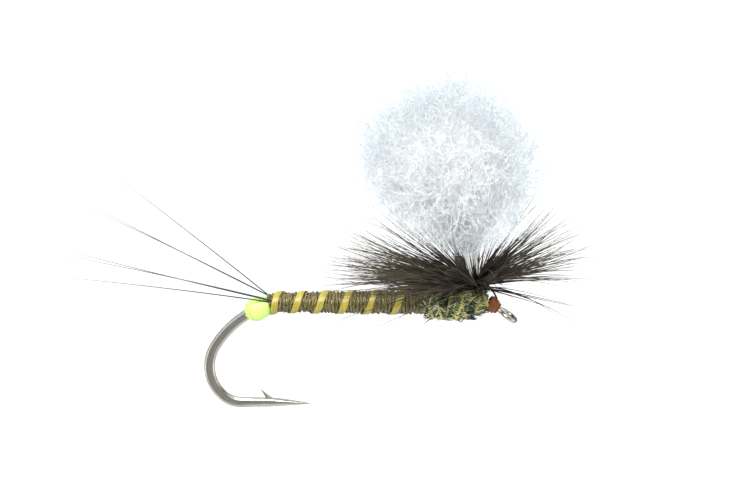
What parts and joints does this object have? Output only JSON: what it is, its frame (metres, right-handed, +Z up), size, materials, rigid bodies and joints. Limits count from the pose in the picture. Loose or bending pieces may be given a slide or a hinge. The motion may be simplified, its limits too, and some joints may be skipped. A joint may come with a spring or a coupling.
{
  "type": "dry fly",
  "caption": "Parachute dry fly: barbed down-eyed hook, ribbed body with bright butt and split hair tails, herl thorax, horizontal hackle and upright white yarn wing.",
  "frame": {"origin": "centre of the hook's eye", "axes": "+X forward, from the bend towards the eye; +Z up, from the hook's point towards the wing; the hook's wire lies in the XZ plane"},
  "size_m": [0.031, 0.0159, 0.0196],
  "materials": {
    "hook_steel": "satin gunmetal, lacquered",
    "brown_thread": "waxed thread under varnish",
    "pale_thread": "waxed thread",
    "varnish": "clear gloss",
    "tail_fibre": "satin monofilament",
    "butt_floss": "fluorescent floss",
    "abdomen_strand": "wound strand, slightly glossy",
    "rib_ribbon": "satin ribbon",
    "wing_yarn": "crimped synthetic yarn",
    "hackle_quill": "natural quill",
    "hackle_barbs": "natural feather barbs, translucent tips",
    "peacock_herl": "bronze-green herl"
  },
  "bodies": {
    "fly_body": {"hook": "hook_steel", "thread_base": "brown_thread", "tail_lashing": "brown_thread", "butt_floss": "butt_floss", "abdomen_wrap": "abdomen_strand", "rib": "rib_ribbon", "wing_lashing": "brown_thread", "wing_post": "wing_yarn", "post_wrap": "pale_thread", "hackle_stem": "hackle_quill", "hackle_barbs": "hackle_barbs", "herl_strand_1": "peacock_herl", "herl_strand_2": "peacock_herl", "herl_strand_3": "peacock_herl", "head_thread": "brown_thread", "head_varnish": "varnish"},
    "wing": {"wing_plume": "wing_yarn"},
    "tail_far": {"tail_fibre_1": "tail_fibre", "tail_fibre_2": "tail_fibre", "tail_fibre_3": "tail_fibre"},
    "tail_near": {"tail_fibre_4": "tail_fibre", "tail_fibre_5": "tail_fibre", "tail_fibre_6": "tail_fibre"}
  },
  "joints": [
    {"name": "wing_flex", "type": "hinge", "parent": "fly_body", "child": "wing", "pos_m": [-0.00217, 0, 0.00362], "axis": [0, 1, 0], "range_deg": [-14, 12], "stiffness_Nm_per_rad": 0.00004},
    {"name": "tail_far_flex", "type": "hinge", "parent": "fly_body", "child": "tail_far", "pos_m": [-0.01386, 0.00036, 0.00111], "axis": [0, 1, 0], "range_deg": [-10, 10], "stiffness_Nm_per_rad": 0.000001},
    {"name": "tail_near_flex", "type": "hinge", "parent": "fly_body", "child": "tail_near", "pos_m": [-0.01386, -0.00043, 0.00102], "axis": [0, 1, 0], "range_deg": [-10, 10], "stiffness_Nm_per_rad": 0.000001}
  ]
}
